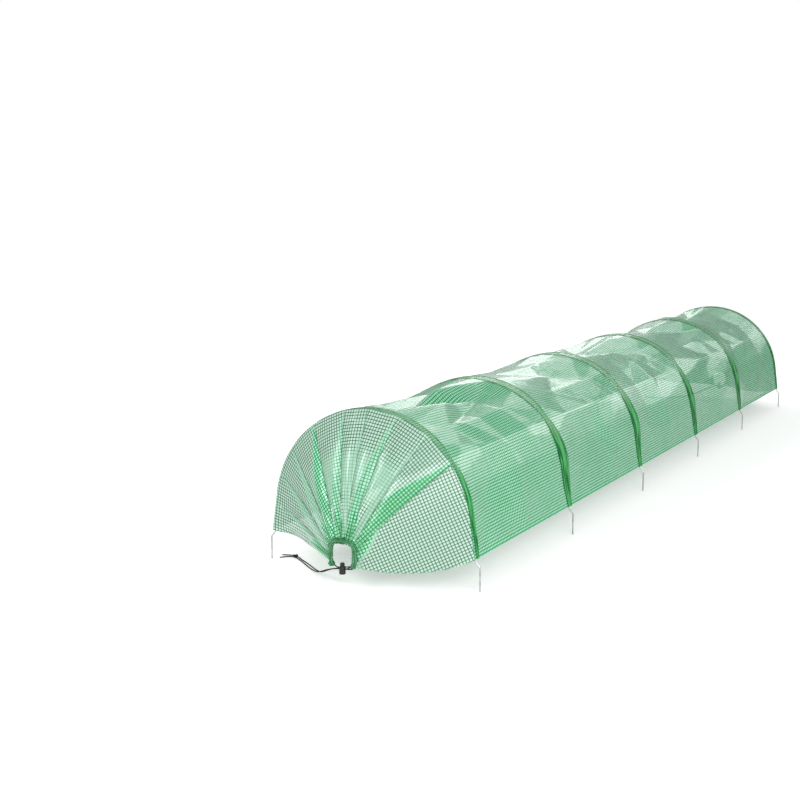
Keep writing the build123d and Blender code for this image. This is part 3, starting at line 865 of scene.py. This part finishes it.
def black_plastic():
    """Moulded black plastic with a fine spark-eroded grain."""
    material, tree, shader = new_material("black_plastic", ior=1.5, specular_ior_level=0.5)
    mask, fine = mottle_in(tree, add_node(tree, "ShaderNodeTexCoord").outputs["Object"], scale=2600.0)
    tint = mix_colour(tree, ramp(tree, mask, 0.3, 0.7), PLASTIC_BLACK, PLASTIC_WORN)
    tree.links.new(tint, shader.inputs["Base Color"])
    tree.links.new(ramp(tree, mask, 0.3, 0.7, 0.38, 0.52), shader.inputs["Roughness"])
    bump_on(tree, shader, fine, strength=0.3, distance=0.0002)
    return material


LOCK = black_plastic()
for end, _ in ENDS:
    for part in ("barrel", "button"):
        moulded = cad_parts[f"{end}_cord_lock_{part}"]
        moulded.data.materials.clear()
        moulded.data.materials.append(LOCK)


# Drawcord
# Two strands of 3 mm black braided cord at each end. They leave the hem, pass through the lock,
# droop to the ground and are tied together near their ends.
CORD_DIAMETER = 0.003
CORD_EXIT = np.radians(140.0)
CORD_FIRST_RUN = 0.0065

# A strand's control points in millimetres: across, along from the mouth, and up from the ground.
RIGHT_STRAND = [
    (10.0, -1.5, 51.3), (0.5, -1.8, 51.0), (-8.5, -1.8, 50.7), (-24.0, -1.0, 48.2), (-47.0, 7.5, 40.5),
    (-77.0, 28.0, 26.5), (-108.0, 56.5, 12.5), (-144.0, 91.0, 3.2), (-186.0, 126.0, 1.5),
    (-222.0, 155.0, 1.5), (-250.0, 172.0, 3.2), (-272.0, 168.0, 1.6), (-284.0, 152.0, 1.5),
]
LEFT_STRAND = [
    (-11.5, 4.0, 51.6), (-4.0, 13.5, 50.7), (6.5, 23.6, 50.6), (14.0, 24.3, 50.4), (20.4, 20.4, 50.4),
    (23.1, 13.4, 50.5), (21.1, 6.3, 50.6), (15.1, 1.9, 50.8), (3.5, 1.8, 51.0), (-8.0, 1.8, 50.7),
    (-24.0, 3.2, 47.6), (-46.0, 13.0, 39.0), (-74.0, 35.0, 24.5), (-105.0, 65.5, 10.5),
    (-142.0, 101.0, 2.5), (-184.0, 136.0, 1.5), (-220.0, 160.0, 1.6), (-247.0, 177.0, 4.6),
    (-270.0, 184.0, 1.8), (-292.0, 176.0, 1.5),
]
STRANDS = (("right", 1.0, RIGHT_STRAND, 0.382), ("left", -1.0, LEFT_STRAND, 0.454))


def strand_route(hem_side, points, end_side):
    """A strand's points in metres: the hem's end, a short run on from it, then the route's own points."""
    sine, cosine = np.sin(CORD_EXIT), np.cos(CORD_EXIT)
    start = np.array([hem_side * HEM_RING * sine, MOUTH_Y, MOUTH_Z + HEM_RING * cosine])
    leaving = start + CORD_FIRST_RUN * np.array([hem_side * cosine, 0.0, -sine])
    route = np.vstack([start, leaving, np.array(points) / 1000 + [0.0, MOUTH_Y, 0.0]])
    return route * [1.0, end_side, 1.0]


def cord_curve(name, route):
    """A round cord on one smooth curve that has the route's points as its control points."""
    data = bpy.data.curves.new(name, "CURVE")
    data.dimensions = "3D"
    spline = data.splines.new("NURBS")
    spline.points.add(len(route) - 1)
    weighted = np.column_stack([route, np.ones(len(route))])
    spline.points.foreach_set("co", weighted.astype(np.float32).ravel())
    spline.points.foreach_set("radius", np.full(len(route), CORD_DIAMETER / 2, np.float32))
    spline.order_u = 3
    spline.use_endpoint_u = True
    spline.resolution_u = 8
    data.bevel_depth = 1.0
    data.bevel_resolution = 3
    data.use_fill_caps = True
    return data


CORD_BLACK = colour(9, 9, 10)
CORD_SHINE = colour(38, 39, 41)


def braided_cord():
    """Black braided cord: tiny strands that shine a little on their crowns."""
    material, tree, shader = new_material("braided_cord", ior=1.5, specular_ior_level=0.35)
    position = add_node(tree, "ShaderNodeTexCoord").outputs["Object"]
    cells = add_node(tree, "ShaderNodeTexVoronoi", {"Scale": 900.0})
    tree.links.new(position, cells.inputs["Vector"])
    crown = ramp(tree, cells.outputs["Distance"], 0.1, 0.6, 1.0, 0.0)
    tree.links.new(mix_colour(tree, crown, CORD_BLACK, CORD_SHINE), shader.inputs["Base Color"])
    tree.links.new(ramp(tree, crown, 0.0, 1.0, 0.85, 0.6), shader.inputs["Roughness"])
    bump_on(tree, shader, crown, strength=0.6, distance=0.0005)
    return material


KNOT_SCALE = (0.0019, 0.0021, 0.0024)
KNOT_CORD_RADIUS = 0.00165
KNOT_STEPS = 120
KNOT_SIDES = 12


def overhand_knot(name, centre):
    """A tied knot: the cord's section carried along a trefoil, pulled flat to the knot's height."""
    turn = np.linspace(0, 2 * math.pi, KNOT_STEPS + 1)[:-1]
    x = np.sin(turn) + 2 * np.sin(2 * turn)
    y = np.cos(turn) - 2 * np.cos(2 * turn)
    z = -0.9 * np.sin(3 * turn)
    line = np.stack([x, y, z], -1) * KNOT_SCALE
    ahead = np.roll(line, -1, 0) - np.roll(line, 1, 0)
    ahead /= np.linalg.norm(ahead, axis=1, keepdims=True)
    side = np.cross(ahead, [0.0, 0.0, 1.0])
    side /= np.linalg.norm(side, axis=1, keepdims=True)
    upper = np.cross(side, ahead)
    section = np.linspace(0, 2 * math.pi, KNOT_SIDES + 1)[None, :, None]
    around = np.cos(section) * side[:, None] + np.sin(section) * upper[:, None]
    tube = line[:, None] + KNOT_CORD_RADIUS * around
    tube = np.concatenate([tube, tube[:1]]) + centre
    uv = np.zeros(tube.shape[:2] + (2,))
    return grid_mesh(name, [(tube, uv)])


CORD = braided_cord()
KNOT = np.array([-0.250, MOUTH_Y + 0.1745, 0.0046])
for end, side in ENDS:
    knot = link(f"{end}_knot", overhand_knot(f"{end}_knot", KNOT * [1.0, side, 1.0]), "tunnel")
    knot.data.materials.append(CORD)
    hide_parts(f"{end}_drawcord_knot")
    for name, hem_side, points, length in STRANDS:
        route = strand_route(hem_side, points, side)
        cord = link(f"{end}_cord_{name}", cord_curve(f"{end}_cord_{name}", route), "tunnel")
        cord.data.materials.append(CORD)
        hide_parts(f"{end}_drawcord_{name}")


# Studio
# A plain white floor that fades into a white surround, six soft lamps round the tunnel,
# and the camera, which stands where the photograph was taken from.
FLOOR_RINGS = np.array([0.0, 1.0, 2.0, 3.0, 4.5, 6.0, 9.0])
FLOOR_Z = -0.0005
FLOOR_WHITE = (0.93, 0.93, 0.93, 1.0)
FLOOR_GLOW = 0.36
PURE_WHITE = (1.0, 1.0, 1.0, 1.0)
SURROUND_LIGHT = 0.46


def floor_mesh():
    """A flat disc in rings: radius by angle."""
    ring = FLOOR_RINGS[:, None]
    angle = np.linspace(0, 2 * math.pi, 65)[None]
    points = np.stack([ring * np.cos(angle), ring * np.sin(angle), 0 * ring * angle + FLOOR_Z], -1)
    return grid_mesh("floor", [(points, points[..., :2])])


def white_floor():
    """Matt white paint that glows a little for the camera, and fades out away from the tunnel."""
    material, tree, shader = new_material("white_floor", roughness=0.7, specular_ior_level=0.2)
    position = add_node(tree, "ShaderNodeTexCoord").outputs["Object"]
    away = add_node(tree, "ShaderNodeVectorMath", operation="LENGTH")
    tree.links.new(position, away.inputs[0])
    shader.inputs["Base Color"].default_value = FLOOR_WHITE
    shader.inputs["Emission Color"].default_value = PURE_WHITE
    seen_floor = add_node(tree, "ShaderNodeLightPath").outputs["Is Camera Ray"]
    tree.links.new(math_node(tree, "MULTIPLY", seen_floor, FLOOR_GLOW), shader.inputs["Emission Strength"])
    tree.links.new(ramp(tree, away.outputs["Value"], 2.2, 4.5, 1.0, 0.0), shader.inputs["Alpha"])
    return material


floor = bpy.data.objects.new("floor", floor_mesh())
scene.collection.objects.link(floor)
floor.data.materials.append(white_floor())

world = bpy.data.worlds.new("white_surround")
world.use_nodes = True
scene.world = world
tree = world.node_tree
rays = add_node(tree, "ShaderNodeLightPath").outputs
seen = math_node(tree, "MAXIMUM", rays["Is Camera Ray"], rays["Is Transmission Ray"])
surround = tree.nodes["Background"]
surround.inputs["Color"].default_value = PURE_WHITE
tree.links.new(ramp(tree, seen, 0.0, 1.0, SURROUND_LIGHT, 1.0), surround.inputs["Strength"])


def softbox(name, place, aim, size, power):
    """A rectangular lamp of this size and power, turned from its place to its aim."""
    data = bpy.data.lights.new(name, "AREA")
    data.shape = "RECTANGLE"
    data.size, data.size_y = size
    data.energy = power
    lamp = bpy.data.objects.new(name, data)
    lamp.location = place
    lamp.rotation_mode = "QUATERNION"
    lamp.rotation_quaternion = (Vector(aim) - Vector(place)).to_track_quat("-Z", "Y")
    scene.collection.objects.link(lamp)


MIDDLE = (0.0, 0.0, 0.3)
softbox("back_above", (-0.2, 5.6, 3.55), MIDDLE, (2.6, 1.6), 24.0)
softbox("back_right", (1.8, 5.5, 2.05), MIDDLE, (1.9, 1.5), 22.0)
softbox("back_left", (-2.35, 5.3, 1.95), MIDDLE, (1.8, 1.3), 22.0)
softbox("left_above", (-4.0, 1.6, 3.0), MIDDLE, (2.2, 2.2), 80.0)
softbox("front_left", (-2.2, -4.3, 2.1), (0.0, -1.55, 0.3), (1.6, 1.2), 64.0)
softbox("right_front", (3.2, -4.4, 2.2), (0.0, -0.6, 0.2), (3.0, 2.4), 180.0)

AZIMUTH = math.radians(28.83)
ELEVATION = math.radians(9.42)
AIM = Vector((-0.352, -0.713, 0.300))
CAMERA_DISTANCE = 4.157
FOCAL_PIXELS = 1341.0
FRAME_PIXELS = 800.0
lens = bpy.data.cameras.new("photo_camera")
lens.sensor_width = 36.0
lens.lens = FOCAL_PIXELS / FRAME_PIXELS * lens.sensor_width
to_camera = Vector(
    (
        math.sin(AZIMUTH) * math.cos(ELEVATION),
        -math.cos(AZIMUTH) * math.cos(ELEVATION),
        math.sin(ELEVATION),
    )
)
camera = bpy.data.objects.new("photo_camera", lens)
camera.location = AIM + to_camera * CAMERA_DISTANCE
camera.rotation_mode = "QUATERNION"
camera.rotation_quaternion = (-to_camera).to_track_quat("-Z", "Y")
scene.collection.objects.link(camera)
scene.camera = camera

bpy.context.view_layer.update()
